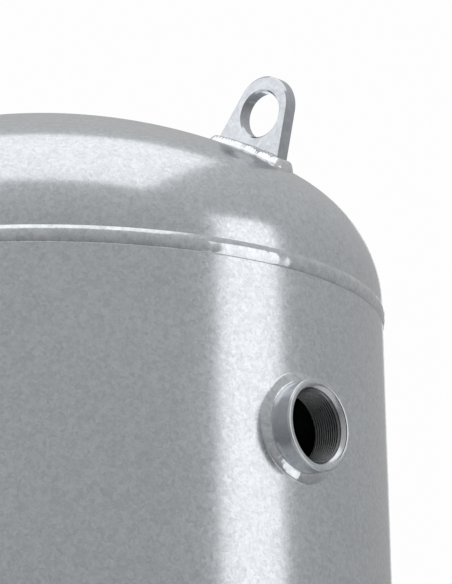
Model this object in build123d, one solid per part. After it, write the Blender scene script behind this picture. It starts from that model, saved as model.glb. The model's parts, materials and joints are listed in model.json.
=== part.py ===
from build123d import *
import math
import os

# Vertical compressed-air receiver, about 500 litres, hot-dip galvanised after welding.
# Millimetres. Z is up, the floor is z = 0 and the origin is the centre of the anchor bolt circle.
# Azimuths are degrees about the tank axis: 0 is the port line at -Y, 90 is the handhole side at +X.

# Vessel
shell_diameter = 600.0
shell_length = 1600.0
wall = 4.0
crown_radius = 472.0
knuckle_radius = 108.0
head_flange = 13.7
floor_clearance = 125.0

# Welds
root_gap = 2.0
girth_bead_width = 11.7
girth_bead_height = 1.9
root_bead_width = 5.0
root_bead_height = 0.8
seam_azimuth = 135.0
seam_gap = 1.5
seam_bead_width = 9.0
seam_bead_height = 1.2
bead_height = 3.5
bead_chamfer = 2.4
port_bead_leg = 8.1
small_bead_leg = 6.0
lug_bead_leg = 8.0
foot_bead_leg = 5.0

# Threaded ports: wall radius of the tapped hole, outside radius, countersink radius
g2_bore, g2_body, g2_mouth = 28.33, 37.5, 32.4
g1_bore, g1_body, g1_mouth = 15.15, 22.5, 17.6
g_half_bore, g_half_body, g_half_mouth = 9.32, 15.0, 11.2
boss_hole_clearance = 0.5
boss_edge_chamfer = 1.0
boss_inside = 8.0
port_reach = 19.0
small_port_reach = 16.0
crown_reach = 14.0
drain_reach = 22.0
port_drop = 136.9
port_rise = 137.0
gauge_drop = 400.0

# Lifting lugs
lug_azimuth = 9.8
lug_twist = -7.0
lug_inset = 80.2
lug_lean = 26.8
lug_thickness = 12.5
lug_hole_radius = 20.0
lug_hole_height = 34.8
lug_top_radius = 28.5
lug_top_offset = 5.2
lug_taper = 13.0
lug_chamfer = 1.2
lug_root_depth = 35.0

# Legs
leg_count = 3
first_leg_azimuth = 60.0
angle_leg = 60.0
angle_wall = 6.0
heel_setback = 40.0
anchor_circle = 470.0
anchor_hole_radius = 9.0
foot_size = 110.0
foot_thickness = 10.0
foot_corner = 12.0

# Handhole, an oval neck with an inside cover
handhole_azimuth = 90.0
handhole_height = 700.0
opening_width = 150.0
opening_height = 100.0
neck_wall = 12.0
neck_reach = 14.0
neck_inside = 12.0
cover_lap = 9.0
cover_thickness = 8.0
spigot_clearance = 2.0
spigot_height = 5.0
gasket_thickness = 4.0
gasket_lip = 1.0
stud_radius = 8.0
stud_beyond_nut = 8.0
stud_chamfer = 1.5
yoke_width = 28.0
yoke_thickness = 12.0
yoke_rise = 14.0
yoke_foot = 11.0
yoke_hole_clearance = 0.75
washer_radius = 15.0
washer_thickness = 3.0
washer_clearance = 0.5
nut_across_flats = 24.0
nut_height = 14.8
nut_clearance = 0.05
nut_chamfer = 1.1
nut_corner_trim = 0.1

# Nameplate and earthing tab
plate_azimuth = 0.0
plate_drop = 321.5
bracket_width = 130.0
bracket_height = 84.0
bracket_sheet = 2.0
bracket_standoff = 14.0
bracket_weld_leg = 3.0
bracket_weld_length = 20.0
nameplate_width = 110.0
nameplate_height = 70.0
nameplate_thickness = 1.0
rivet_radius = 1.6
rivet_head_radius = 3.0
rivet_head_height = 1.0
rivet_edge = 6.0
earth_azimuth = 300.0
earth_height = 380.0
earth_reach = 34.0
earth_width = 32.0
earth_thickness = 5.0
earth_hole_radius = 5.5

# Worked out from the sizes above
shell_radius = shell_diameter / 2
knuckle_centre = shell_radius - knuckle_radius
crown_drop = math.sqrt((crown_radius - knuckle_radius) ** 2 - knuckle_centre**2)
dish_height = head_flange + crown_radius - crown_drop
bottom_joint = floor_clearance + dish_height
top_joint = bottom_joint + shell_length
top_of_crown = top_joint + dish_height
upper_port_height = top_joint - port_drop
lower_port_height = bottom_joint + port_rise
gauge_height = top_joint - gauge_drop
plate_height = gauge_height - plate_drop
neck_face = shell_radius + neck_reach
seat_sag = shell_radius - math.sqrt((shell_radius - wall) ** 2 - (opening_width / 2 + neck_wall) ** 2)
neck_seat = shell_radius - seat_sag - neck_inside
cover_face = neck_seat - gasket_thickness
yoke_top = neck_face + yoke_rise + yoke_thickness
nut_seat = yoke_top + washer_thickness
stud_end = nut_seat + nut_height + stud_beyond_nut
side_ports = {
    "upper_port": (0.0, upper_port_height, g2_body),
    "lower_port": (0.0, lower_port_height, g2_body),
    "rear_port": (180.0, upper_port_height, g2_body),
    "gauge_port": (0.0, gauge_height, g_half_body),
}


def outward(azimuth, height, distance=0.0):
    # Local X is level, local Y is up and local Z points away from the tank axis.
    turn = math.radians(azimuth)
    out = Vector(math.sin(turn), -math.cos(turn), 0)
    level = Vector(math.cos(turn), math.sin(turn), 0)
    return Plane(origin=out * distance + Vector(0, 0, height), x_dir=level, z_dir=out)


def on_arc(centre_x, centre_z, radius, degrees):
    angle = math.radians(degrees)
    return (centre_x + radius * math.cos(angle), 0, centre_z + radius * math.sin(angle))


def dish(grow):
    # Solid inside the head's outer face, grown by an allowance, with its joint plane at z = 0.
    knuckle_end = math.degrees(math.atan2(crown_drop, knuckle_centre))
    radius = shell_radius + grow
    knuckle = knuckle_radius + grow
    crown = crown_radius + grow
    crown_centre = head_flange - crown_drop
    top = (0, 0, crown_centre + crown)
    bend = on_arc(knuckle_centre, head_flange, knuckle, knuckle_end)
    edges = [
        Line((0, 0, 0), (radius, 0, 0)),
        Line((radius, 0, 0), (radius, 0, head_flange)),
        ThreePointArc(
            (radius, 0, head_flange),
            on_arc(knuckle_centre, head_flange, knuckle, knuckle_end / 2),
            bend,
        ),
        ThreePointArc(bend, on_arc(0, crown_centre, crown, (90 + knuckle_end) / 2), top),
        Line(top, (0, 0, 0)),
    ]
    return revolve(make_face(edges), Axis.Z, 360)


def top_dish(grow=0.0):
    return Pos(0, 0, top_joint) * dish(grow)


def bottom_dish(grow=0.0):
    return Pos(0, 0, bottom_joint) * Rot(180, 0, 0) * dish(grow)


def barrel(grow=0.0):
    return Pos(0, 0, (bottom_joint + top_joint) / 2) * Cylinder(shell_radius + grow, shell_length)


def round_cutter(radius, length):
    return Pos(0, 0, length / 2) * Cylinder(radius, length)


def oval(half_width, half_height, length):
    return extrude(Ellipse(half_width, half_height), length)


def head(boss_radius):
    blank = dish(0) - dish(-wall)
    flat_end = Pos(0, 0, root_gap / 4) * Cylinder(2 * shell_radius, root_gap / 2)
    boss_hole = round_cutter(boss_radius + boss_hole_clearance, 2 * dish_height)
    return blank - flat_end - boss_hole


def shell():
    length = shell_length - root_gap
    tube = Cylinder(shell_radius, length) - Cylinder(shell_radius - wall, length)
    tube = Pos(0, 0, (bottom_joint + top_joint) / 2) * tube
    slit = Box(seam_gap, shell_length, 4 * wall)
    tube -= outward(seam_azimuth, (bottom_joint + top_joint) / 2, shell_radius) * slit
    for azimuth, height, body in side_ports.values():
        hole = round_cutter(body + boss_hole_clearance, 2 * shell_radius)
        tube -= outward(azimuth, height) * hole
    neck = oval(
        opening_width / 2 + neck_wall + boss_hole_clearance,
        opening_height / 2 + neck_wall + boss_hole_clearance,
        2 * shell_radius,
    )
    return tube - outward(handhole_azimuth, handhole_height) * neck


def girth_weld(height):
    inner = shell_radius - wall
    cap = girth_bead_width / 2
    root = root_bead_width / 2
    gap = root_gap / 2
    edges = [
        ThreePointArc((shell_radius, 0, -cap), (shell_radius + girth_bead_height, 0, 0), (shell_radius, 0, cap)),
        Line((shell_radius, 0, cap), (shell_radius, 0, gap)),
        Line((shell_radius, 0, gap), (inner, 0, gap)),
        Line((inner, 0, gap), (inner, 0, root)),
        ThreePointArc((inner, 0, root), (inner - root_bead_height, 0, 0), (inner, 0, -root)),
        Line((inner, 0, -root), (inner, 0, -gap)),
        Line((inner, 0, -gap), (shell_radius, 0, -gap)),
        Line((shell_radius, 0, -gap), (shell_radius, 0, -cap)),
    ]
    return Pos(0, 0, height) * revolve(make_face(edges), Axis.Z, 360)


def seam_bead(width, proud, length, inside):
    # A strip that follows the shell's curve, standing proud of its outer or its inner face.
    if inside:
        layer = Cylinder(shell_radius - wall, length) - Cylinder(shell_radius - wall - proud, length)
    else:
        layer = Cylinder(shell_radius + proud, length) - Cylinder(shell_radius, length)
    return layer & Pos(0, -shell_radius, 0) * Box(width, 4 * wall, length)


def shell_seam_weld():
    length = shell_length - root_gap
    fill = Cylinder(shell_radius, length) - Cylinder(shell_radius - wall, length)
    fill = fill & Pos(0, -shell_radius, 0) * Box(seam_gap, 4 * wall, length)
    bead = fill + seam_bead(seam_bead_width, seam_bead_height, shell_length - girth_bead_width, False)
    bead += seam_bead(root_bead_width, root_bead_height, shell_length - root_bead_width, True)
    return Pos(0, 0, (bottom_joint + top_joint) / 2) * Rot(0, 0, seam_azimuth) * bead


def boss(bore, body, mouth, length):
    # Stands on z = 0 with its mouth at the top.
    blank = round_cutter(body, length)
    blank = chamfer(blank.edges().sort_by(Axis.Z)[-1], boss_edge_chamfer)
    flare = mouth - bore
    countersink = Pos(0, 0, length - flare / 2) * Cone(bore, mouth, flare)
    return blank - round_cutter(bore, length) - countersink


def side_boss(azimuth, height, bore, body, mouth, reach):
    start = shell_radius - wall - boss_inside
    return outward(azimuth, height, start) * boss(bore, body, mouth, shell_radius + reach - start)


def side_weld(azimuth, height, body, leg):
    band = round_cutter(body + leg, 2 * shell_radius) - round_cutter(body, 2 * shell_radius)
    frame = outward(azimuth, height)
    return sloped((frame * band) & barrel(bead_height), frame.z_dir) - barrel()


def sloped(bead, facing):
    # Chamfers the outside rim of the face that looks the given way.
    top = bead.faces().sort_by(Axis((0, 0, 0), facing))[-1]
    return chamfer(top.outer_wire().edges(), bead_chamfer)


def crown_boss():
    start = top_of_crown - wall - boss_inside
    return Pos(0, 0, start) * boss(g1_bore, g1_body, g1_mouth, top_of_crown + crown_reach - start)


def drain_boss():
    start = floor_clearance + wall + boss_inside
    length = start - floor_clearance + drain_reach
    return Pos(0, 0, start) * Rot(180, 0, 0) * boss(g1_bore, g1_body, g1_mouth, length)


def dish_weld(body, leg, dish_at, turned):
    band = round_cutter(body + leg, 2 * dish_height) - round_cutter(body, 2 * dish_height)
    if turned:
        band = Rot(180, 0, 0) * band
        middle, facing = bottom_joint, (0, 0, -1)
    else:
        middle, facing = top_joint, (0, 0, 1)
    return sloped((Pos(0, 0, middle) * band) & dish_at(bead_height), facing) - dish_at()


def lug_frame(half_turn):
    # Origin where the lug's middle line meets the head; local X along the plate, Z across it, Y up the lug.
    seat_radius = shell_radius - lug_inset
    seat = top_joint + head_flange - crown_drop + math.sqrt(crown_radius**2 - seat_radius**2)
    place = math.radians(lug_azimuth + half_turn)
    turn = math.radians(lug_azimuth + half_turn + lug_twist)
    lean = math.radians(lug_lean)
    out = Vector(math.sin(turn), -math.cos(turn), 0)
    along = out * math.cos(lean) - Vector(0, 0, math.sin(lean))
    up = out * math.sin(lean) + Vector(0, 0, math.cos(lean))
    origin = Vector(seat_radius * math.sin(place), -seat_radius * math.cos(place), seat)
    return Plane(origin=origin, x_dir=along, z_dir=along.cross(up))


def lug_half_width(height):
    taper = math.radians(lug_taper)
    top_centre = lug_hole_height + lug_top_offset
    return lug_top_radius / math.cos(taper) + (top_centre - height) * math.tan(taper)


def lug(half_turn):
    taper = math.radians(lug_taper)
    top_centre = lug_hole_height + lug_top_offset
    foot = -lug_root_depth
    side_x = lug_top_radius * math.cos(taper)
    side_y = top_centre + lug_top_radius * math.sin(taper)
    width = lug_half_width(foot)
    outline = [
        Line((-width, foot), (width, foot)),
        Line((width, foot), (side_x, side_y)),
        ThreePointArc((side_x, side_y), (0, top_centre + lug_top_radius), (-side_x, side_y)),
        Line((-side_x, side_y), (-width, foot)),
    ]
    profile = make_face(outline) - Pos(0, lug_hole_height) * Circle(lug_hole_radius)
    plate = extrude(profile, lug_thickness / 2, both=True)
    plate = chamfer(plate.faces().sort_by(Axis.Z)[0].edges(), lug_chamfer)
    plate = chamfer(plate.faces().sort_by(Axis.Z)[-1].edges(), lug_chamfer)
    return lug_frame(half_turn) * plate - top_dish()


def lug_weld(half_turn):
    half_width = lug_half_width(0)
    footprint = RectangleRounded(
        2 * (half_width + lug_bead_leg), lug_thickness + 2 * lug_bead_leg, lug_bead_leg
    )
    column = extrude(Rot(90, 0, 0) * footprint, lug_root_depth, both=True)
    frame = lug_frame(half_turn)
    bead = sloped((frame * column) & top_dish(bead_height), frame.y_dir)
    return bead - top_dish() - lug(half_turn)


def angle_section(grow):
    # Corner of the angle bar at the origin, its two arms opening towards +X.
    arm = angle_leg + 2 * grow
    bar = Rectangle(arm, angle_wall + 2 * grow, align=(Align.MIN, Align.MIN))
    bar += Rectangle(angle_wall + 2 * grow, arm, align=(Align.MIN, Align.MIN))
    return Rot(0, 0, -45) * Pos(-grow, -grow) * bar


def leg_place(number):
    azimuth = first_leg_azimuth + number * 360 / leg_count
    return Rot(0, 0, azimuth - 90)


def heel_at(number, height):
    return leg_place(number) * Pos(anchor_circle / 2 - heel_setback, 0, height)


def leg_post(number):
    post = heel_at(number, foot_thickness) * extrude(angle_section(0), bottom_joint - 2 * foot_thickness)
    return post - bottom_dish()


def leg_weld(number):
    band = heel_at(number, foot_thickness) * extrude(angle_section(small_bead_leg), bottom_joint)
    bead = (band & bottom_dish(bead_height)) - bottom_dish()
    return bead - leg_post(number)


def foot_weld(number):
    ring = extrude(angle_section(foot_bead_leg), bead_height)
    ring -= extrude(angle_section(0), bead_height)
    return heel_at(number, foot_thickness) * ring


def foot_plate(number):
    plate = extrude(RectangleRounded(foot_size, foot_size, foot_corner), foot_thickness)
    plate -= round_cutter(anchor_hole_radius, foot_thickness)
    return leg_place(number) * Pos(anchor_circle / 2, 0, 0) * plate


def handhole_piece(solid, distance):
    return outward(handhole_azimuth, handhole_height, distance) * solid


def handhole_neck():
    length = neck_face - neck_seat
    ring = oval(opening_width / 2 + neck_wall, opening_height / 2 + neck_wall, length)
    ring -= oval(opening_width / 2, opening_height / 2, length)
    return handhole_piece(ring, neck_seat)


def handhole_weld():
    body_width = opening_width / 2 + neck_wall
    body_height = opening_height / 2 + neck_wall
    band = oval(body_width + small_bead_leg, body_height + small_bead_leg, 2 * shell_radius)
    band -= oval(body_width, body_height, 2 * shell_radius)
    bead = handhole_piece(band, 0) & barrel(bead_height)
    return bead - barrel()


def handhole_cover():
    plate = oval(opening_width / 2 + cover_lap, opening_height / 2 + cover_lap, cover_thickness)
    spigot = oval(
        opening_width / 2 - spigot_clearance,
        opening_height / 2 - spigot_clearance,
        cover_thickness + gasket_thickness + spigot_height,
    )
    cover = handhole_piece(plate + spigot, cover_face - cover_thickness)
    return cover - stud_blank(0.0)


def handhole_gasket():
    ring = oval(opening_width / 2 + cover_lap, opening_height / 2 + cover_lap, gasket_thickness)
    ring -= oval(
        opening_width / 2 - spigot_clearance + gasket_lip,
        opening_height / 2 - spigot_clearance + gasket_lip,
        gasket_thickness,
    )
    return handhole_piece(ring, cover_face)


def stud_blank(end_chamfer):
    stud = round_cutter(stud_radius, stud_end - cover_face)
    if end_chamfer > 0:
        stud = chamfer(stud.edges().sort_by(Axis.Z)[-1], end_chamfer)
    return handhole_piece(stud, cover_face)


def handhole_yoke():
    half = opening_height / 2 + neck_wall
    shoulder = half - yoke_foot
    crest = yoke_rise + yoke_thickness
    points = [
        (-half, 0),
        (-shoulder, 0),
        (-shoulder + yoke_rise, yoke_rise),
        (shoulder - yoke_rise, yoke_rise),
        (shoulder, 0),
        (half, 0),
        (half, yoke_thickness),
        (shoulder, crest),
        (-shoulder, crest),
        (-half, yoke_thickness),
    ]
    profile = make_face(Polyline(*points, close=True))
    bar = extrude(Rot(90, 0, 0) * profile, yoke_width / 2, both=True)
    bar = Rot(0, 0, 90) * bar
    bar -= round_cutter(stud_radius + yoke_hole_clearance, 2 * crest)
    return handhole_piece(bar, neck_face)


def handhole_washer():
    ring = round_cutter(washer_radius, washer_thickness)
    ring -= round_cutter(stud_radius + washer_clearance, washer_thickness)
    return handhole_piece(ring, yoke_top)


def handhole_nut():
    corner = nut_across_flats / 2 / math.cos(math.pi / 6)
    hexagon = extrude(RegularPolygon(corner, 6), nut_height)
    rounding = Pos(0, 0, nut_height / 2) * Cylinder(corner - nut_corner_trim, nut_height)
    rounding = chamfer(rounding.edges().filter_by(GeomType.CIRCLE), nut_chamfer)
    nut = hexagon & rounding
    nut -= round_cutter(stud_radius + nut_clearance, nut_height)
    return handhole_piece(nut, nut_seat)


def at_bracket(solid, distance=0.0):
    return outward(plate_azimuth, plate_height, distance) * solid


def nameplate_bracket():
    face = shell_radius + bracket_standoff
    block = Box(bracket_width, bracket_height, face, align=(Align.CENTER, Align.CENTER, Align.MIN))
    hollow = Box(
        bracket_width - 2 * bracket_sheet,
        bracket_height,
        face - bracket_sheet,
        align=(Align.CENTER, Align.CENTER, Align.MIN),
    )
    sheet = block - hollow
    for x, y in rivet_places():
        sheet -= Pos(x, y, 0) * round_cutter(rivet_radius, 2 * face)
    return at_bracket(sheet) - barrel()


def bracket_welds():
    face = shell_radius + bracket_standoff - bracket_sheet
    beads = []
    for side in (-1, 1):
        for end in (-1, 1):
            x = side * (bracket_width + bracket_weld_leg) / 2
            y = end * (bracket_height - bracket_weld_length) / 2
            strip = Pos(x, y, face / 2) * Box(bracket_weld_leg, bracket_weld_length, face)
            beads.append((at_bracket(strip) & barrel(bracket_weld_leg)) - barrel())
    return beads


def rivet_places():
    x = nameplate_width / 2 - rivet_edge
    y = nameplate_height / 2 - rivet_edge
    return [(-x, -y), (x, -y), (-x, y), (x, y)]


def nameplate():
    plate = extrude(RectangleRounded(nameplate_width, nameplate_height, rivet_edge / 2), nameplate_thickness)
    for x, y in rivet_places():
        plate -= Pos(x, y, 0) * round_cutter(rivet_radius, nameplate_thickness)
    return at_bracket(plate, shell_radius + bracket_standoff)


def nameplate_rivets():
    grip = bracket_sheet + nameplate_thickness
    rivets = []
    for x, y in rivet_places():
        rivet = round_cutter(rivet_radius, grip)
        rivet += Pos(0, 0, grip) * round_cutter(rivet_head_radius, rivet_head_height)
        rivets.append(at_bracket(Pos(x, y, 0) * rivet, shell_radius + bracket_standoff - bracket_sheet))
    return rivets


def earth_tab_blank(grow):
    # Stands out from the shell in a vertical radial plane.
    tab = Box(
        earth_thickness + 2 * grow,
        earth_width + 2 * grow,
        shell_radius + earth_reach,
        align=(Align.CENTER, Align.CENTER, Align.MIN),
    )
    return outward(earth_azimuth, earth_height) * tab


def earth_tab():
    hole_distance = shell_radius + earth_reach - earth_width / 2
    cutter = Rot(0, 90, 0) * Cylinder(earth_hole_radius, 2 * earth_thickness)
    return earth_tab_blank(0) - barrel() - outward(earth_azimuth, earth_height, hole_distance) * cutter


def earth_weld():
    band = earth_tab_blank(foot_bead_leg) & barrel(bead_height)
    return band - barrel() - earth_tab_blank(0)


def save(name, solids):
    if not isinstance(solids, list):
        solids = [solids]
    pieces = []
    for solid in solids:
        pieces.extend(solid.solids())
    shape = pieces[0] if len(pieces) == 1 else Compound(children=pieces)
    export_step(shape, os.path.join("parts", name + ".step"))


os.makedirs("parts", exist_ok=True)

save("shell", shell())
save("shell_seam_weld", shell_seam_weld())
save("top_head", Pos(0, 0, top_joint) * head(g1_body))
save("bottom_head", Pos(0, 0, bottom_joint) * Rot(180, 0, 0) * head(g1_body))
save("top_girth_weld", girth_weld(top_joint))
save("bottom_girth_weld", girth_weld(bottom_joint))

for port, (azimuth, height, body) in side_ports.items():
    if body == g2_body:
        save(port + "_boss", side_boss(azimuth, height, g2_bore, body, g2_mouth, port_reach))
        save(port + "_weld", side_weld(azimuth, height, body, port_bead_leg))
    else:
        save(port + "_boss", side_boss(azimuth, height, g_half_bore, body, g_half_mouth, small_port_reach))
        save(port + "_weld", side_weld(azimuth, height, body, small_bead_leg))

save("crown_boss", crown_boss())
save("crown_boss_weld", dish_weld(g1_body, small_bead_leg, top_dish, False))
save("drain_boss", drain_boss())
save("drain_boss_weld", dish_weld(g1_body, small_bead_leg, bottom_dish, True))

save("front_lifting_lug", lug(0))
save("front_lug_weld", lug_weld(0))
save("rear_lifting_lug", lug(180))
save("rear_lug_weld", lug_weld(180))

for number in range(leg_count):
    label = str(number + 1)
    save("leg_post_" + label, leg_post(number))
    save("leg_weld_" + label, leg_weld(number))
    save("foot_plate_" + label, foot_plate(number))
    save("foot_weld_" + label, foot_weld(number))

save("handhole_neck", handhole_neck())
save("handhole_neck_weld", handhole_weld())
save("handhole_cover", handhole_cover())
save("handhole_gasket", handhole_gasket())
save("handhole_stud", stud_blank(stud_chamfer))
save("handhole_yoke", handhole_yoke())
save("handhole_washer", handhole_washer())
save("handhole_nut", handhole_nut())

save("nameplate_bracket", nameplate_bracket())
save("nameplate_bracket_welds", bracket_welds())
save("nameplate", nameplate())
save("nameplate_rivets", nameplate_rivets())
save("earthing_tab", earth_tab())
save("earthing_tab_weld", earth_weld())
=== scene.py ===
import bpy
import bmesh
import json
import math
from mathutils import Matrix, Vector, noise


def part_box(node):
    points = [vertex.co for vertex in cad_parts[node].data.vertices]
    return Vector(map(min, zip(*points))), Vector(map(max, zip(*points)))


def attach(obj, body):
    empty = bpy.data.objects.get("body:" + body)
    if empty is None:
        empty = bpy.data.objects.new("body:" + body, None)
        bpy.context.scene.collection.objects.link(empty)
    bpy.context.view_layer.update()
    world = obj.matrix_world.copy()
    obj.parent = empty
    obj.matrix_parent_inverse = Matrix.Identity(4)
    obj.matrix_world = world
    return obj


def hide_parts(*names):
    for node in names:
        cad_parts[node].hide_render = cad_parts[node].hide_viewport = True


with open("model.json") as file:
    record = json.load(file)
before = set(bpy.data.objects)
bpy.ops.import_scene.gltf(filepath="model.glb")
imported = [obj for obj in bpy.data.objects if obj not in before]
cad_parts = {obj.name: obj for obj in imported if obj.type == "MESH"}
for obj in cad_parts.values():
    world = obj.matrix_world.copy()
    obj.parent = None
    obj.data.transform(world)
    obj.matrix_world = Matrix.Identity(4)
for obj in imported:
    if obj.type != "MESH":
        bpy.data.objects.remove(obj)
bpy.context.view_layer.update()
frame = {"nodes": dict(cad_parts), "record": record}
record = frame["record"]
mounts = {m["name"]: m for m in record["mounts"]}
print("frame loaded:", len(frame["nodes"]), "nodes")

mm = 0.001

shellLow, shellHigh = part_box("shell")
shellRadius = round(shellHigh.y, 4)
wall = 4 * mm
seamLow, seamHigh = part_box("top_girth_weld")
topJoint = (seamLow.z + seamHigh.z) / 2
lowSeamLow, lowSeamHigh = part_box("bottom_girth_weld")
bottomJoint = (lowSeamLow.z + lowSeamHigh.z) / 2
beadWidth = seamHigh.z - seamLow.z

headShape = dict(crown=0.472, knuckle=0.108, flange=0.0137, gap=0.002, hole=0.0230)
knuckleCentre = shellRadius - headShape["knuckle"]
crownDrop = math.sqrt((headShape["crown"] - headShape["knuckle"]) ** 2 - knuckleCentre ** 2)
knuckleEnd = math.atan2(crownDrop, knuckleCentre)


def dishHeight(radius):
    # height of the head's outer face above its joint
    if radius > shellRadius:
        return headShape["flange"]
    if radius > headShape["crown"] * math.cos(knuckleEnd):
        across = radius - knuckleCentre
        return headShape["flange"] + math.sqrt(max(headShape["knuckle"] ** 2 - across ** 2, 0))
    return headShape["flange"] - crownDrop + math.sqrt(headShape["crown"] ** 2 - radius ** 2)


def newMaterial(name):
    material = bpy.data.materials.new(name)
    material.use_nodes = True
    tree = material.node_tree
    shader = tree.nodes["Principled BSDF"]
    return material, tree, shader


def addNode(tree, kind, **values):
    node = tree.nodes.new(kind)
    for key, value in values.items():
        setattr(node, key, value)
    return node


def mathNode(tree, operation, first, second):
    node = addNode(tree, "ShaderNodeMath", operation=operation)
    for socket, value in zip(node.inputs, (first, second)):
        if isinstance(value, (int, float)):
            socket.default_value = value
        else:
            tree.links.new(value, socket)
    return node.outputs[0]


def rampNode(tree, source, stops):
    # stops is a list of (position, grey or colour)
    node = addNode(tree, "ShaderNodeValToRGB")
    ramp = node.color_ramp
    while len(ramp.elements) < len(stops):
        ramp.elements.new(0.5)
    for element, (place, colour) in zip(ramp.elements, stops):
        element.position = place
        if isinstance(colour, (int, float)):
            colour = (colour, colour, colour)
        element.color = (*colour, 1)
    tree.links.new(source, node.inputs[0])
    return node.outputs[0]


def noiseNode(tree, vector, scale, detail=2.0, rough=0.5):
    node = addNode(tree, "ShaderNodeTexNoise")
    node.inputs["Scale"].default_value = scale
    node.inputs["Detail"].default_value = detail
    node.inputs["Roughness"].default_value = rough
    tree.links.new(vector, node.inputs["Vector"])
    return node.outputs["Fac"]


def cellNode(tree, vector, scale):
    # one random grey for each crystal
    node = addNode(tree, "ShaderNodeTexVoronoi")
    node.inputs["Scale"].default_value = scale
    tree.links.new(vector, node.inputs["Vector"])
    split = addNode(tree, "ShaderNodeSeparateColor")
    tree.links.new(node.outputs["Color"], split.inputs[0])
    return split.outputs[0], split.outputs[1]


def zincMaterial(name, look):
    material, tree, shader = newMaterial(name)
    place = addNode(tree, "ShaderNodeTexCoord").outputs["Object"]
    warp = addNode(tree, "ShaderNodeTexNoise")
    warp.inputs["Scale"].default_value = look["warpScale"]
    warp.inputs["Detail"].default_value = 1.0
    tree.links.new(place, warp.inputs["Vector"])
    bend = addNode(tree, "ShaderNodeVectorMath", operation="MULTIPLY_ADD")
    tree.links.new(warp.outputs["Color"], bend.inputs[0])
    bend.inputs[1].default_value = (look["warp"],) * 3
    tree.links.new(place, bend.inputs[2])
    bent = bend.outputs[0]

    flakes, flakeTilt = cellNode(tree, bent, look["flakeScale"])
    flecks, fleckTilt = cellNode(tree, bent, look["fleckScale"])
    clouds = noiseNode(tree, place, look["cloudScale"], 3.0, 0.55)
    grain = noiseNode(tree, place, look["grainScale"], 2.0, 0.6)

    tone = mathNode(tree, "MULTIPLY", flakes, look["flakes"])
    tone = mathNode(tree, "ADD", tone, mathNode(tree, "MULTIPLY", flecks, look["flecks"]))
    tone = mathNode(tree, "ADD", tone, mathNode(tree, "MULTIPLY", clouds, look["clouds"]))
    tone = mathNode(tree, "ADD", tone, mathNode(tree, "MULTIPLY", grain, look["grain"]))
    total = look["flakes"] + look["flecks"] + look["clouds"] + look["grain"]
    tone = mathNode(tree, "DIVIDE", tone, total)
    colour = rampNode(tree, tone, [(0.25, look["dark"]), (0.75, look["light"])])
    tree.links.new(colour, shader.inputs["Base Color"])

    halfFleck = mathNode(tree, "MULTIPLY", fleckTilt, 0.5)
    sheen = mathNode(tree, "ADD", mathNode(tree, "MULTIPLY", flakeTilt, 0.5), halfFleck)
    polish = addNode(tree, "ShaderNodeMapRange")
    tree.links.new(sheen, polish.inputs["Value"])
    polish.inputs["To Min"].default_value = look["smooth"]
    polish.inputs["To Max"].default_value = look["rough"]
    tree.links.new(polish.outputs[0], shader.inputs["Roughness"])

    waves = noiseNode(tree, place, look["waveScale"], 1.0, 0.4)
    wavy = addNode(tree, "ShaderNodeBump")
    wavy.inputs["Strength"].default_value = 1.0
    wavy.inputs["Distance"].default_value = look["waveHeight"]
    tree.links.new(waves, wavy.inputs["Height"])
    fine = addNode(tree, "ShaderNodeBump")
    fine.inputs["Strength"].default_value = 1.0
    fine.inputs["Distance"].default_value = look["grainHeight"]
    height = mathNode(tree, "ADD", mathNode(tree, "MULTIPLY", flakeTilt, 0.4), grain)
    tree.links.new(height, fine.inputs["Height"])
    tree.links.new(wavy.outputs[0], fine.inputs["Normal"])
    tree.links.new(fine.outputs[0], shader.inputs["Normal"])
    shader.inputs["Metallic"].default_value = 1.0
    return material


sheetLook = dict(
    warpScale=130, warp=0.004, flakeScale=310, fleckScale=640, cloudScale=16, grainScale=1000,
    flakes=0.7, flecks=0.6, clouds=0.35, grain=0.7,
    dark=(0.60, 0.625, 0.655), light=(0.765, 0.795, 0.825), smooth=0.13, rough=0.25,
    waveScale=6, waveHeight=0.0004, grainHeight=0.000004,
)
plateLook = dict(
    warpScale=90, warp=0.003, flakeScale=160, fleckScale=420, cloudScale=22, grainScale=1100,
    flakes=0.4, flecks=0.3, clouds=1.0, grain=0.6,
    dark=(0.585, 0.61, 0.635), light=(0.725, 0.75, 0.78), smooth=0.28, rough=0.38,
    waveScale=30, waveHeight=0.00006, grainHeight=0.000005,
)
weldLook = dict(
    warpScale=160, warp=0.003, flakeScale=260, fleckScale=700, cloudScale=60, grainScale=1400,
    flakes=0.6, flecks=0.4, clouds=1.0, grain=0.4,
    dark=(0.585, 0.61, 0.635), light=(0.84, 0.87, 0.90), smooth=0.10, rough=0.20,
    waveScale=150, waveHeight=0.00008, grainHeight=0.000004,
)
zincSheet = zincMaterial("zincSheet", sheetLook)
zincPlate = zincMaterial("zincPlate", plateLook)
zincWeld = zincMaterial("zincWeld", weldLook)
# lug weld colours: a lighter copy of the weld colours, a painted highlight for the light the bead catches
zincLugWeldPaintedHighlight = zincMaterial("zincLugWeldPaintedHighlight", dict(weldLook, dark=(0.72, 0.74, 0.76), light=(0.93, 0.945, 0.96)))
zincBoss = zincMaterial("zincBoss", dict(plateLook, smooth=0.17, rough=0.27, clouds=0.5, waveHeight=0.00003))
# lug plate colours: a darker, bluer copy of the plate colours, painted shade on the lug's faces
zincLugPaintedShade = zincMaterial("zincLugPaintedShade", dict(
    plateLook, smooth=0.14, rough=0.24, clouds=0.5, waveHeight=0.00003,
    dark=(0.54, 0.565, 0.60), light=(0.66, 0.69, 0.73),
))


def fastenerMaterial():
    look = dict(base=(0.70, 0.70, 0.68), rough=0.24, scuff=260, spread=0.14)
    material, tree, shader = newMaterial("zincPlated")
    place = addNode(tree, "ShaderNodeTexCoord").outputs["Object"]
    scuffs = noiseNode(tree, place, look["scuff"], 4.0, 0.6)
    scuffed = mathNode(tree, "MULTIPLY", scuffs, look["spread"])
    rough = mathNode(tree, "ADD", scuffed, look["rough"] - look["spread"] / 2)
    tree.links.new(rough, shader.inputs["Roughness"])
    shader.inputs["Base Color"].default_value = (*look["base"], 1)
    shader.inputs["Metallic"].default_value = 1.0
    return material


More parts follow.
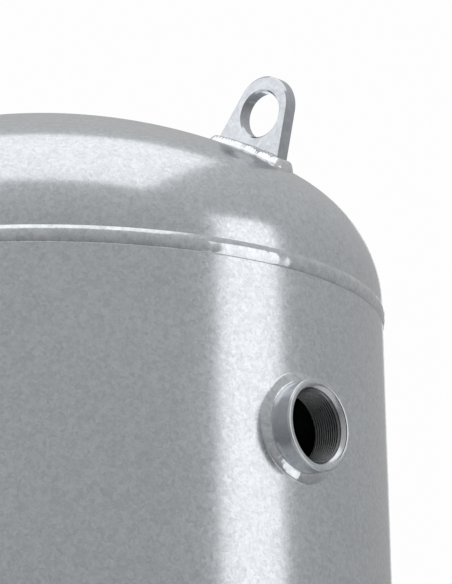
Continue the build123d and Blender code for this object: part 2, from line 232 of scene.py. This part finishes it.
def aluminiumMaterial():
    look = dict(dark=(0.72, 0.73, 0.74), light=(0.86, 0.87, 0.88), along=30, across=2600, rough=0.34)
    material, tree, shader = newMaterial("plateAluminium")
    place = addNode(tree, "ShaderNodeTexCoord").outputs["Object"]
    stretch = addNode(tree, "ShaderNodeMapping")
    stretch.inputs["Scale"].default_value = (look["along"], look["across"], look["across"])
    tree.links.new(place, stretch.inputs["Vector"])
    brushed = noiseNode(tree, stretch.outputs[0], 1.0, 2.0, 0.5)
    colour = rampNode(tree, brushed, [(0.3, look["dark"]), (0.7, look["light"])])
    tree.links.new(colour, shader.inputs["Base Color"])
    shader.inputs["Roughness"].default_value = look["rough"]
    shader.inputs["Metallic"].default_value = 1.0
    return material


def rubberMaterial():
    look = dict(dark=(0.012, 0.012, 0.013), light=(0.032, 0.032, 0.034), grain=900, rough=0.62)
    material, tree, shader = newMaterial("gasketRubber")
    place = addNode(tree, "ShaderNodeTexCoord").outputs["Object"]
    grain = noiseNode(tree, place, look["grain"], 3.0, 0.6)
    colour = rampNode(tree, grain, [(0.3, look["dark"]), (0.7, look["light"])])
    tree.links.new(colour, shader.inputs["Base Color"])
    shader.inputs["Roughness"].default_value = look["rough"]
    return material


zincPlated = fastenerMaterial()
plateAluminium = aluminiumMaterial()
gasketRubber = rubberMaterial()
cutSteel = zincMaterial("cutSteel", dict(
    plateLook, dark=(0.16, 0.165, 0.17), light=(0.28, 0.285, 0.29), smooth=0.24, rough=0.34,
))
print("materials made")


def finishPiece(name, bm, material, replaced, body="vessel", sharp=math.radians(28), second=None):
    bmesh.ops.recalc_face_normals(bm, faces=bm.faces)
    for face in bm.faces:
        face.smooth = True
    for edge in bm.edges:
        edge.smooth = len(edge.link_faces) == 2 and edge.calc_face_angle(0) < sharp
    mesh = bpy.data.meshes.new(name)
    bm.to_mesh(mesh)
    bm.free()
    mesh.materials.append(material)
    if second:
        mesh.materials.append(second)
    piece = bpy.data.objects.new(name, mesh)
    bpy.context.scene.collection.objects.link(piece)
    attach(piece, body)
    if replaced:
        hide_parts(*replaced)
    return piece


def spinProfile(points, steps, closed=True):
    # points are (radius, height) about Z
    bm = bmesh.new()
    rim = [bm.verts.new((radius, 0, height)) for radius, height in points]
    for first, second in zip(rim, rim[1:] + rim[:1] if closed else rim[1:]):
        bm.edges.new((first, second))
    bmesh.ops.spin(
        bm, geom=bm.verts[:] + bm.edges[:], cent=(0, 0, 0), axis=(0, 0, 1), dvec=(0, 0, 0),
        angle=2 * math.pi, steps=steps, use_merge=True, use_duplicate=False,
    )
    return bm


def arcPoints(centre, radius, start, end, count):
    return [
        (centre[0] + radius * math.cos(start + (end - start) * i / count),
         centre[1] + radius * math.sin(start + (end - start) * i / count))
        for i in range(count + 1)
    ]


def portFrame(mount):
    # local X level, Y up, Z out of the port; origin on the tank axis
    out = Vector(mount["axis"]).normalized()
    if abs(out.z) > 0.5:
        level, up = Vector((1, 0, 0)), Vector((0, out.z, 0))
    else:
        up = Vector((0, 0, 1))
        level = up.cross(out)
    centre = Vector(mount["pos_m"])
    origin = centre - out * centre.dot(out) if abs(out.z) < 0.5 else Vector((0, 0, 0))
    turn = Matrix((level, up, out)).transposed().to_4x4()
    return Matrix.Translation(origin) @ turn


def headProfile():
    flange, gap = headShape["flange"], headShape["gap"] / 2
    low = flange - crownDrop
    outer = [(shellRadius, gap), (shellRadius, flange * 0.5)]
    outer += arcPoints((knuckleCentre, flange), headShape["knuckle"], 0, knuckleEnd, 18)
    holeAngle = math.acos(headShape["hole"] / headShape["crown"])
    outer += arcPoints((0, low), headShape["crown"], knuckleEnd, holeAngle, 26)[1:]
    innerHole = math.acos(headShape["hole"] / (headShape["crown"] - wall))
    inner = arcPoints((0, low), headShape["crown"] - wall, innerHole, knuckleEnd, 26)
    inner += arcPoints((knuckleCentre, flange), headShape["knuckle"] - wall, knuckleEnd, 0, 18)[1:]
    inner += [(shellRadius - wall, gap)]
    return outer + inner


def makeHead(name, place):
    bm = spinProfile(headProfile(), 288)
    bmesh.ops.transform(bm, matrix=place, verts=bm.verts)
    return finishPiece(name + "_pressing", bm, zincSheet, [name])


makeHead("top_head", Matrix.Translation((0, 0, topJoint)))
makeHead("bottom_head", Matrix.Translation((0, 0, bottomJoint)) @ Matrix.Rotation(math.pi, 4, "X"))
print("heads made")

shellShape = dict(steps=288, gap=0.001, holeClearance=0.0005, neckWide=0.087, neckHigh=0.062)


def portBody(name):
    low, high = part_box(name + "_boss")
    return (high.z - low.z) / 2


def cutterPiece(halfWide, halfHigh, place):
    bm = bmesh.new()
    bmesh.ops.create_cone(bm, cap_ends=True, segments=96, radius1=1, radius2=1, depth=0.2)
    bmesh.ops.scale(bm, vec=(halfWide, halfHigh, 1), verts=bm.verts)
    bmesh.ops.translate(bm, vec=(0, 0, shellRadius), verts=bm.verts)
    bmesh.ops.transform(bm, matrix=place, verts=bm.verts)
    bmesh.ops.recalc_face_normals(bm, faces=bm.faces)
    mesh = bpy.data.meshes.new("cutter")
    bm.to_mesh(mesh)
    bm.free()
    cutter = bpy.data.objects.new("cutter", mesh)
    bpy.context.scene.collection.objects.link(cutter)
    return cutter


def neckPlace():
    low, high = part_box("handhole_neck")
    middle = (low + high) / 2
    axis = Vector((middle.x, middle.y, 0)).normalized()
    return portFrame(dict(axis=axis, pos_m=middle))


def makeShell():
    low, high = bottomJoint + shellShape["gap"], topJoint - shellShape["gap"]
    ports = [mounts[n] for n in ("upper_port", "lower_port", "rear_port", "gauge_port")]
    rows = {low, high}
    for port in ports:
        for step in (-0.06, 0.06):
            rows.add(port["pos_m"][2] + step)
    neckLow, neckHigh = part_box("handhole_neck")
    rows |= {neckLow.z - 0.02, neckHigh.z + 0.02}
    rows = sorted(rows)
    profile = [(shellRadius, z) for z in rows] + [(shellRadius - wall, z) for z in reversed(rows)]
    bm = spinProfile(profile, shellShape["steps"])
    bmesh.ops.recalc_face_normals(bm, faces=bm.faces)
    mesh = bpy.data.meshes.new("shell_tube")
    bm.to_mesh(mesh)
    bm.free()
    tube = bpy.data.objects.new("shell_tube", mesh)
    bpy.context.scene.collection.objects.link(tube)
    cutters = []
    for port in ports:
        radius = portBody(port["name"]) + shellShape["holeClearance"]
        cutters.append(cutterPiece(radius, radius, portFrame(port)))
    grow = shellShape["holeClearance"]
    cutters.append(cutterPiece(shellShape["neckWide"] + grow, shellShape["neckHigh"] + grow, neckPlace()))
    for cutter in cutters:
        cut = tube.modifiers.new("cut", "BOOLEAN")
        cut.operation, cut.solver, cut.object = "DIFFERENCE", "EXACT", cutter
    bpy.context.view_layer.update()
    cutMesh = bpy.data.meshes.new_from_object(tube.evaluated_get(bpy.context.evaluated_depsgraph_get()))
    tube.modifiers.clear()
    tube.data = cutMesh
    for cutter in cutters:
        bpy.data.objects.remove(cutter)
    roundNormals(cutMesh)
    cutMesh.name = "shell_tube"
    cutMesh.materials.clear()
    cutMesh.materials.append(zincSheet)
    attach(tube, "vessel")
    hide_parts("shell")
    return tube


def roundNormals(mesh):
    # the wall's normals point straight out from the tank axis, so holes leave no mark on its shading
    normals = []
    for face in mesh.polygons:
        face.use_smooth = True
        level = Vector((face.normal.x, face.normal.y, 0))
        middle = Vector((face.center.x, face.center.y, 0))
        outside = middle.length > shellRadius - 0.3 * wall and level.dot(middle) > 0.95 * middle.length
        inside = middle.length < shellRadius - 0.7 * wall and level.dot(middle) < -0.95 * middle.length
        for index in face.vertices:
            corner = mesh.vertices[index].co
            radial = Vector((corner.x, corner.y, 0)).normalized()
            normals.append(radial if outside else -radial if inside else face.normal.copy())
    mesh.normals_split_custom_set(normals)


makeShell()
print("shell made")

girthShape = dict(
    steps=1080, height=0.0019, spread=1.22, ripple=0.00005, pitch=0.0024,
    lumps=0.00018, drift=0.0003, sink=0.0008,
)


def girthProfile():
    # (height above the shell, place up the bead), lower toe first
    bead = [
        (0.0, 0.0), (0.12, 0.012), (0.30, 0.05), (0.50, 0.12), (0.70, 0.21), (0.86, 0.31), (0.96, 0.42),
        (1.0, 0.53), (0.98, 0.64), (0.88, 0.74), (0.66, 0.82), (0.42, 0.89), (0.18, 0.955), (0.04, 0.99), (0.0, 1.0),
    ]
    wide = beadWidth * girthShape["spread"]
    points = [(shellRadius + h * girthShape["height"], (up - 0.5) * wide) for h, up in bead]
    low = (shellRadius - girthShape["sink"], -wide / 2)
    high = (shellRadius - girthShape["sink"], wide / 2)
    return points + [high, low]


def makeGirthWeld(name, joint):
    bm = spinProfile(girthProfile(), girthShape["steps"])
    for vert in bm.verts:
        angle = math.atan2(vert.co.y, vert.co.x)
        radial = Vector((vert.co.x, vert.co.y, 0))
        proud = radial.length - shellRadius
        spot = Vector((math.cos(angle), math.sin(angle), joint)) * 3
        drift = noise.noise(spot) * girthShape["drift"]
        if proud > 0.0001:
            up = vert.co.z / beadWidth
            waver = 5 * up * up + 4 * noise.noise(spot * 6)
            ripple = math.sin(angle * shellRadius / girthShape["pitch"] + waver)
            lump = noise.noise(Vector((vert.co.x * 60, vert.co.y * 60, vert.co.z * 90 + joint)))
            step = ripple * girthShape["ripple"] + lump * girthShape["lumps"]
            radial = radial.normalized() * (radial.length + step * min(proud / girthShape["height"] * 2, 1))
        vert.co = Vector((radial.x, radial.y, vert.co.z + drift))
    bmesh.ops.translate(bm, vec=(0, 0, joint), verts=bm.verts)
    return finishPiece(name + "_bead", bm, zincWeld, [name], sharp=math.radians(40))


makeGirthWeld("top_girth_weld", topJoint)
makeGirthWeld("bottom_girth_weld", bottomJoint)
print("girth welds made")

bossShape = dict(
    steps=192, chamfer=0.0016, groove=0.0005, mouthDrop=0.0011, thread=0.00148, pitch=0.002309, rowsPerTurn=16,
)
smallThread = dict(thread=0.00116, pitch=0.001814)


def bossProfile(body, bore, mouth, start, end, settings):
    # closed outline from the inner end round the outside, over the face and back down the bore
    chamfer, depth = settings["chamfer"], settings["thread"]
    rows = int((end - start) / settings["pitch"] * settings["rowsPerTurn"])
    lip = mouth + settings["groove"]
    outside = [(body, start), (body, start + (end - start) * 0.4), (body, end - chamfer * 1.15)]
    outside += arcPoints((body - chamfer, end - chamfer), chamfer, 0.12, math.pi / 2 - 0.12, 6)
    face = [(body - chamfer * 1.4, end), (lip + 0.0003, end), (lip, end - 0.0001)]
    drop, flare = settings["mouthDrop"], mouth - bore - depth
    face += [(lip - 0.00008, end - drop + 0.0002), (mouth, end - drop)]
    face += [(mouth - flare * 0.5, end - drop - flare * 0.5)]
    top = end - drop - flare
    wallRows = [(bore + depth, top + (start - top) * i / rows) for i in range(rows + 1)]
    return outside + face + wallRows


def cutThread(bm, bore, mouth, end, settings):
    # rounded Whitworth form: the wall swings between the root and the crest once in every pitch
    depth, pitch = settings["thread"], settings["pitch"]
    top = end - settings["mouthDrop"] - (mouth - bore - depth)
    for vert in bm.verts:
        radius = math.hypot(vert.co.x, vert.co.y)
        if abs(radius - bore - depth) > 0.00002 or vert.co.z > top - 0.00001:
            continue
        turn = math.atan2(vert.co.y, vert.co.x) / (2 * math.pi)
        tooth = 0.5 - 0.5 * math.cos(2 * math.pi * (vert.co.z / pitch + turn))
        fade = min((top - vert.co.z) / (0.8 * pitch), 1)
        new = bore + depth - depth * tooth * fade
        vert.co.x *= new / radius
        vert.co.y *= new / radius


def makeBoss(name, settings):
    mount = mounts[name]
    place = portFrame(mount)
    back = place.inverted()
    node = name + "_boss" if name + "_boss" in frame["nodes"] else name.replace("port", "boss")
    low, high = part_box(node)
    corners = [
        back @ Vector((x, y, z)) for x in (low.x, high.x) for y in (low.y, high.y) for z in (low.z, high.z)
    ]
    start, end = min(c.z for c in corners), max(c.z for c in corners)
    body = max(c.x for c in corners)
    bore = mount["dims"]["r_mm"] * mm
    mouth = bore + end - start - mount["dims"]["length_mm"] * mm
    bm = spinProfile(bossProfile(body, bore, mouth, start, end, settings), settings["steps"])
    cutThread(bm, bore, mouth, end, settings)
    for face in bm.faces:
        middle = face.calc_center_median()
        threaded = math.hypot(middle.x, middle.y) < bore + settings["thread"] and middle.z < end - 0.001
        face.material_index = int(threaded)
    bmesh.ops.transform(bm, matrix=place, verts=bm.verts)
    return finishPiece(
        node + "_turned", bm, zincBoss, [node], sharp=math.radians(33), second=cutSteel,
    )


for portName in ("upper_port", "lower_port", "rear_port"):
    makeBoss(portName, bossShape)
for portName in ("crown_port", "drain_port"):
    makeBoss(portName, dict(bossShape, steps=128))
makeBoss("gauge_port", dict(bossShape, **smallThread, steps=96))
print("bosses made")

bossBead = dict(
    steps=420, leg=0.0081, smallLeg=0.006, rise=0.0036, sink=0.0015, ripple=0.000018, pitch=0.0042,
    rough=0.00006, crater=0.0003, craterWidth=0.10, swell=0.0004, wander=0.0007, nicks=0.00012,
)


def beadProfile(body, leg, rise):
    # (distance from the boss axis, height above the sheet), toe first
    shape = [
        (1.0, 0.0), (0.985, 0.06), (0.90, 0.22), (0.75, 0.42), (0.55, 0.60), (0.34, 0.76), (0.16, 0.90),
        (0.0, 1.0),
    ]
    points = [(body + leg * across, rise * up) for across, up in shape]
    return points + [(body - 0.0006, rise), (body - 0.0006, -bossBead["sink"]), (body + leg, -bossBead["sink"])]


def makeBossWeld(node, mount, body, leg, rise, seed):
    place = portFrame(mount)
    bm = spinProfile(beadProfile(body, leg, rise), bossBead["steps"])
    startAngle = math.radians(187)
    for vert in bm.verts:
        angle = math.atan2(vert.co.y, vert.co.x)
        radius = math.hypot(vert.co.x, vert.co.y)
        across = (radius - body) / leg
        around = angle * body
        lump = noise.noise(Vector((math.cos(angle) * 2.2, math.sin(angle) * 2.2, seed)))
        fine = noise.noise(Vector((math.cos(angle) * 16, math.sin(angle) * 16, seed + across * 1.5)))
        gap = (angle - startAngle + math.pi) % (2 * math.pi) - math.pi
        crater = math.exp(-(gap / bossBead["craterWidth"]) ** 2)
        height = vert.co.z
        if height > 0:
            wave = math.sin(2 * math.pi * (around / bossBead["pitch"] + 0.35 * across * across) + 2 * lump)
            calm = min(max(across, 0) * 5, 1) * min(max(1 - across, 0) * 5, 1)
            height += calm * (wave * bossBead["ripple"] + fine * (bossBead["rough"] + bossBead["crater"] * crater))
            height += calm * (lump * bossBead["swell"] - bossBead["crater"] * crater)
        if across > 0.02:
            radius += across * (lump * bossBead["wander"] + fine * bossBead["nicks"])
        x, y = radius * math.cos(angle), radius * math.sin(angle)
        level = math.sqrt(shellRadius ** 2 - x ** 2)
        vert.co = Vector((x, y, level + height))
    bmesh.ops.transform(bm, matrix=place, verts=bm.verts)
    return finishPiece(node + "_bead", bm, zincWeld, [node], sharp=math.radians(50))


for seed, portName in enumerate(("upper_port", "lower_port", "rear_port", "gauge_port")):
    size = bossBead["leg"] if portName != "gauge_port" else bossBead["smallLeg"]
    makeBossWeld(portName + "_weld", mounts[portName], portBody(portName), size, bossBead["rise"], seed * 7.3)
print("boss welds made")

lugShape = dict(
    lean=math.radians(26.8), thickness=0.0125, topRadius=0.0285, topOffset=0.0052, taper=math.radians(13),
    holeHeight=0.0348, foot=-0.006, chamfer=0.0016, count=128,
)


def lugPlace(mount):
    # X along the plate and outward, Y up the lug, Z across it; origin where its middle line meets the head
    across = Vector(mount["axis"]).normalized()
    centre = Vector(mount["pos_m"])
    out = across.cross(Vector((0, 0, 1))).normalized()
    if out.dot(centre) < 0:
        out.negate()
    up = out * math.sin(lugShape["lean"]) + Vector((0, 0, 1)) * math.cos(lugShape["lean"])
    along = out * math.cos(lugShape["lean"]) - Vector((0, 0, 1)) * math.sin(lugShape["lean"])
    origin = centre - up * lugShape["holeHeight"]
    turn = Matrix((along, up, along.cross(up))).transposed().to_4x4()
    return Matrix.Translation(origin) @ turn


def lugHalfWidth(height):
    top = lugShape["holeHeight"] + lugShape["topOffset"]
    return lugShape["topRadius"] / math.cos(lugShape["taper"]) + (top - height) * math.tan(lugShape["taper"])


def lugEdge(angle):
    # where a ray from the hole's centre leaves the outline
    ray = Vector((math.cos(angle), math.sin(angle)))
    centre = Vector((0, lugShape["holeHeight"]))
    top = Vector((0, lugShape["topOffset"]))
    near = ray.dot(top)
    best = near + math.sqrt(near * near - top.length_squared + lugShape["topRadius"] ** 2)
    tangentLine = lugShape["topOffset"] + lugShape["topRadius"] * math.sin(lugShape["taper"])
    if (ray * best).y < tangentLine:
        slope = math.tan(lugShape["taper"])
        side = lugHalfWidth(lugShape["holeHeight"]) / (abs(ray.x) + 1e-9 + ray.y * slope)
        side = side if side > 0 else 1e9
        floor = (lugShape["foot"] - lugShape["holeHeight"]) / ray.y if ray.y < -1e-6 else 1e9
        best = min(side, floor)
    return centre + ray * best


def makeLug(name, mount):
    count, half = lugShape["count"], lugShape["thickness"] / 2
    corner = Vector((lugHalfWidth(lugShape["foot"]), lugShape["foot"] - lugShape["holeHeight"]))
    angles = [2 * math.pi * i / count for i in range(count)]
    for sign in (-1, 1):
        target = math.atan2(corner.y, sign * corner.x) % (2 * math.pi)
        nearest = min(range(count), key=lambda i: abs(angles[i] - target))
        angles[nearest] = target
    bm = bmesh.new()
    radius = mount["dims"]["r_mm"] * mm
    outer = [bm.verts.new((*lugEdge(a), half)) for a in angles]
    eye = lugShape["holeHeight"]
    inner = [bm.verts.new((radius * math.cos(a), eye + radius * math.sin(a), half)) for a in angles]
    for loop in (outer, inner):
        for first, second in zip(loop, loop[1:] + loop[:1]):
            bm.edges.new((first, second))
    bmesh.ops.bridge_loops(bm, edges=bm.edges[:])
    front = bm.faces[:]
    grown = bmesh.ops.extrude_face_region(bm, geom=front, use_keep_orig=True)
    moved = [v for v in grown["geom"] if isinstance(v, bmesh.types.BMVert)]
    bmesh.ops.translate(bm, vec=(0, 0, -2 * half), verts=moved)
    bmesh.ops.recalc_face_normals(bm, faces=bm.faces)
    rims = [e for e in bm.edges if len(e.link_faces) == 2 and e.calc_face_angle(0) > math.radians(80)
            and abs(e.verts[0].co.z - e.verts[1].co.z) < 1e-6 and abs(abs(e.verts[0].co.z) - half) < 1e-6]
    bmesh.ops.bevel(bm, geom=rims, offset=lugShape["chamfer"], offset_type="OFFSET", affect="EDGES", segments=1,
                    profile=0.5, material=-1, clamp_overlap=True)
    bmesh.ops.transform(bm, matrix=lugPlace(mount), verts=bm.verts)
    # the plate takes the darker, bluer plate colours, painted shade
    return finishPiece(name + "_cut", bm, zincLugPaintedShade, [name], sharp=math.radians(15))


lugBead = dict(
    leg=0.0075, rise=0.0064, crown=0.0010, count=520, across=14, pitch=0.0046, ripple=0.0001, rough=0.0001,
    lumps=0.0011, under=0.002, spread=0.45,
)


def lugBeadPath(fraction):
    # a rounded rectangle close round the plate's foot; returns the point and the outward direction
    halfLong, halfThick, corner = lugHalfWidth(0), lugShape["thickness"] / 2, 0.0022
    straightLong, straightThick = 2 * (halfLong - corner), 2 * (halfThick - corner)
    bend = corner * math.pi / 2
    total = 2 * (straightLong + straightThick) + 4 * bend
    run = (fraction % 1) * total
    centres = [(halfLong - corner, halfThick - corner), (-halfLong + corner, halfThick - corner),
               (-halfLong + corner, -halfThick + corner), (halfLong - corner, -halfThick + corner)]
    lengths = [straightThick, bend, straightLong, bend] * 2
    for index, length in enumerate(lengths):
        if run <= length:
            break
        run -= length
    side = index // 2
    heading = side * math.pi / 2
    centre = Vector(centres[side])
    if index % 2:
        heading += run / corner
        out = Vector((math.cos(heading), math.sin(heading)))
        return centre + out * corner, out
    out = Vector((math.cos(heading), math.sin(heading)))
    along = Vector((-out.y, out.x))
    return centre + out * corner - along * (lengths[index] - run), out


def makeLugWeld(name, mount, seed):
    place = lugPlace(mount)
    back = place.inverted()
    bm = bmesh.new()
    bmesh.ops.create_grid(bm, x_segments=lugBead["count"], y_segments=lugBead["across"], size=0.5)
    for vert in bm.verts:
        u, v = vert.co.x + 0.5, vert.co.y + 0.5
        point, out = lugBeadPath(u)
        lump = noise.noise(Vector((point.x * 90, point.y * 90, seed)))
        fine = noise.noise(Vector((point.x * 420, point.y * 420, seed + 3 * v)))
        across = min(max((v - 0.08) / 0.84, 0), 1)
        bulge = math.sin(across * math.pi)
        outward = (point.x / lugHalfWidth(0) + 1) / 2
        spread = lugBead["spread"] * outward * max(out.y, 0)  # the bead widens towards the outer end
        leg = lugBead["leg"] * (1 + 0.14 * lump + spread)
        distance = leg * (1 - across) - 0.0005 * (v > 0.99)
        spot = point + out * distance
        base = place @ Vector((spot.x, 0, spot.y))
        radial = math.hypot(base.x, base.y)
        base.z = topJoint + dishHeight(radial)
        local = back @ base
        rise = lugBead["rise"] * math.sin(across * math.pi / 2)
        rise += (lugBead["crown"] + lugBead["lumps"] * lump) * bulge
        along = u * 0.22
        wave = math.sin(2 * math.pi * (along / lugBead["pitch"] + 0.45 * (across - 0.5) ** 2 * 4) + 1.5 * lump)
        rise += bulge * (wave * lugBead["ripple"] + fine * lugBead["rough"])
        if v < 0.04 or v > 0.96:
            rise = -lugBead["under"]
        vert.co = Vector((spot.x, local.y + rise, spot.y))
    bmesh.ops.remove_doubles(bm, verts=bm.verts, dist=1e-6)
    bmesh.ops.transform(bm, matrix=place, verts=bm.verts)
    # the bead takes the lighter weld colours, a painted highlight
    return finishPiece(name + "_bead", bm, zincLugWeldPaintedHighlight, [name], sharp=math.radians(60))


for seed, side in enumerate(("front", "rear")):
    makeLug(side + "_lifting_lug", mounts[side + "_lifting_eye"])
    makeLugWeld(side + "_lug_weld", mounts[side + "_lifting_eye"], seed * 11.7)
print("lugs made")

studShape = dict(steps=48, pitch=0.002, depth=0.00123, rowsPerTurn=10, chamfer=0.0012)


def makeStud():
    low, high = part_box("handhole_stud")
    radius, length, chamfer = (high.z - low.z) / 2, high.x - low.x, studShape["chamfer"]
    rows = int(length / studShape["pitch"] * studShape["rowsPerTurn"])
    rim = [(0, 0), (radius - chamfer, 0)]
    rim += [(radius, chamfer + (length - 2 * chamfer) * i / rows) for i in range(rows + 1)]
    rim += [(radius - chamfer, length), (0, length)]
    bm = spinProfile(rim, studShape["steps"], closed=False)
    bmesh.ops.remove_doubles(bm, verts=bm.verts, dist=1e-6)
    for vert in bm.verts:
        reach = math.hypot(vert.co.x, vert.co.y)
        if reach < radius - 1e-5:
            continue
        turn = math.atan2(vert.co.y, vert.co.x) / (2 * math.pi)
        tooth = abs((vert.co.z / studShape["pitch"] - turn) % 1 - 0.5) * 2
        new = radius - studShape["depth"] * min(max((tooth - 0.12) / 0.7, 0), 1)
        vert.co.x *= new / reach
        vert.co.y *= new / reach
    middle = (low + high) / 2
    place = Matrix.Translation((low.x, middle.y, middle.z)) @ Matrix.Rotation(math.pi / 2, 4, "Y")
    bmesh.ops.transform(bm, matrix=place, verts=bm.verts)
    return finishPiece(
        "threaded_stud", bm, zincPlated, ["handhole_stud"], body="handhole_closure",
    )


plateShape = dict(border=0.004, rim=0.0012, raised=0.00018, edge=0.00025)


def makeNameplate():
    low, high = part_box("nameplate")
    bm = bmesh.new()
    bmesh.ops.create_cube(bm, size=1)
    bmesh.ops.scale(bm, vec=high - low, verts=bm.verts)
    front = [f for f in bm.faces if f.normal.y < -0.9]
    bmesh.ops.inset_region(bm, faces=front, thickness=plateShape["border"], depth=0)
    bmesh.ops.inset_region(bm, faces=front, thickness=plateShape["edge"], depth=-plateShape["raised"])
    bmesh.ops.inset_region(bm, faces=front, thickness=plateShape["rim"], depth=0)
    bmesh.ops.inset_region(bm, faces=front, thickness=plateShape["edge"], depth=plateShape["raised"])
    bmesh.ops.translate(bm, vec=(low + high) / 2, verts=bm.verts)
    return finishPiece(
        "nameplate_sheet", bm, plateAluminium, ["nameplate"], sharp=math.radians(20),
    )


makeStud()
makeNameplate()
print("stud and nameplate made")

slotMaterials = dict(
    galvanised_sheet=zincSheet, galvanised_plate=zincPlate, galvanised_weld=zincWeld, galvanised_boss=zincBoss,
    zinc_plated_fastener=zincPlated, plate_aluminium=plateAluminium, gasket_rubber=gasketRubber,
)
for part in record["subparts"]:
    node = frame["nodes"][part["node"]]
    node.data.materials.clear()
    node.data.materials.append(slotMaterials[part["material_slot"]])


def makeFloor():
    bm = bmesh.new()
    bmesh.ops.create_circle(bm, cap_ends=True, segments=96, radius=2.6)
    mesh = bpy.data.meshes.new("floor")
    bm.to_mesh(mesh)
    bm.free()
    material, tree, shader = newMaterial("paleFloor")
    shader.inputs["Base Color"].default_value = (0.80, 0.80, 0.80, 1)
    shader.inputs["Roughness"].default_value = 0.6
    mesh.materials.append(material)
    floor = bpy.data.objects.new("floor", mesh)
    bpy.context.scene.collection.objects.link(floor)


cameraView = dict(
    azimuth=math.radians(-42.7), distance=2.087, belowSeam=0.5337, pitch=0.2684, yaw=0.0772, roll=-0.0171,
    lens=148.46, sensor=36,
)

studioLight = dict(
    backdrop=0.985,
    room=[(0.0, 0.12), (0.5, 0.38), (1.0, 0.60)],  # brightness of the room from straight below to overhead
)

# soft panels: degrees round from the camera, height over the floor, distance from the tank, size and power
softPanels = dict(
    keyPanel=dict(turn=-100, height=2.2, distance=2.8, wide=2.4, tall=2.6, power=17),
    stripPanel=dict(turn=66, height=1.8, distance=2.6, wide=1.1, tall=2.8, power=8),
    rearPanel=dict(turn=180, height=2.0, distance=3.0, wide=2.4, tall=2.4, power=16),
    topPanel=dict(turn=0, height=4.8, distance=0.6, wide=3.4, tall=3.4, power=22),
)


def makePanel(name, panel):
    angle = cameraView["azimuth"] + math.radians(panel["turn"])
    place = Vector((math.sin(angle), -math.cos(angle), 0)) * panel["distance"] + Vector((0, 0, panel["height"]))
    aim = Vector((0, 0, topJoint)) - place
    data = bpy.data.lights.new(name, "AREA")
    data.shape = "RECTANGLE"
    data.size, data.size_y = panel["wide"], panel["tall"]
    data.energy = panel["power"]
    light = bpy.data.objects.new(name, data)
    bpy.context.scene.collection.objects.link(light)
    light.matrix_world = Matrix.Translation(place) @ aim.to_track_quat("-Z", "Y").to_matrix().to_4x4()
    light.visible_camera = False


def makeWorld():
    world = bpy.data.worlds.new("studio")
    bpy.context.scene.world = world
    world.use_nodes = True
    tree = world.node_tree
    soft = tree.nodes["Background"]
    soft.inputs["Color"].default_value = (1, 1, 1, 1)
    split = addNode(tree, "ShaderNodeSeparateXYZ")
    tree.links.new(addNode(tree, "ShaderNodeTexCoord").outputs["Generated"], split.inputs[0])
    upward = mathNode(tree, "ADD", mathNode(tree, "MULTIPLY", split.outputs[2], 0.5), 0.5)
    tree.links.new(rampNode(tree, upward, studioLight["room"]), soft.inputs["Strength"])
    backdrop = addNode(tree, "ShaderNodeBackground")
    backdrop.inputs["Color"].default_value = (*[studioLight["backdrop"]] * 3, 1)
    mix = addNode(tree, "ShaderNodeMixShader")
    ray = addNode(tree, "ShaderNodeLightPath")
    tree.links.new(ray.outputs["Is Camera Ray"], mix.inputs[0])
    tree.links.new(soft.outputs[0], mix.inputs[1])
    tree.links.new(backdrop.outputs[0], mix.inputs[2])
    tree.links.new(mix.outputs[0], tree.nodes["World Output"].inputs["Surface"])


def makeCamera():
    azimuth = cameraView["azimuth"]
    out = Vector((math.sin(azimuth), -math.cos(azimuth), 0))
    right = Vector((math.cos(azimuth), math.sin(azimuth), 0))
    eye = out * cameraView["distance"] + Vector((0, 0, seamLow.z - cameraView["belowSeam"]))
    yaw, pitch, roll = cameraView["yaw"], cameraView["pitch"], cameraView["roll"]
    level = -out * math.cos(yaw) + right * math.sin(yaw)
    ahead = level * math.cos(pitch) + Vector((0, 0, math.sin(pitch)))
    side = right * math.cos(yaw) + out * math.sin(yaw)
    above = side.cross(ahead)
    turnedSide = side * math.cos(roll) + above * math.sin(roll)
    turnedUp = above * math.cos(roll) - side * math.sin(roll)
    data = bpy.data.cameras.new("camera")
    data.sensor_width = cameraView["sensor"]
    data.lens = cameraView["lens"]
    camera = bpy.data.objects.new("camera", data)
    bpy.context.scene.collection.objects.link(camera)
    turn = Matrix((turnedSide, turnedUp, -ahead)).transposed().to_4x4()
    camera.matrix_world = Matrix.Translation(eye) @ turn
    bpy.context.scene.camera = camera


makeFloor()
makeWorld()
for name, panel in softPanels.items():
    makePanel(name, panel)
makeCamera()
bpy.context.scene.view_settings.view_transform = "Standard"
print("stage made")
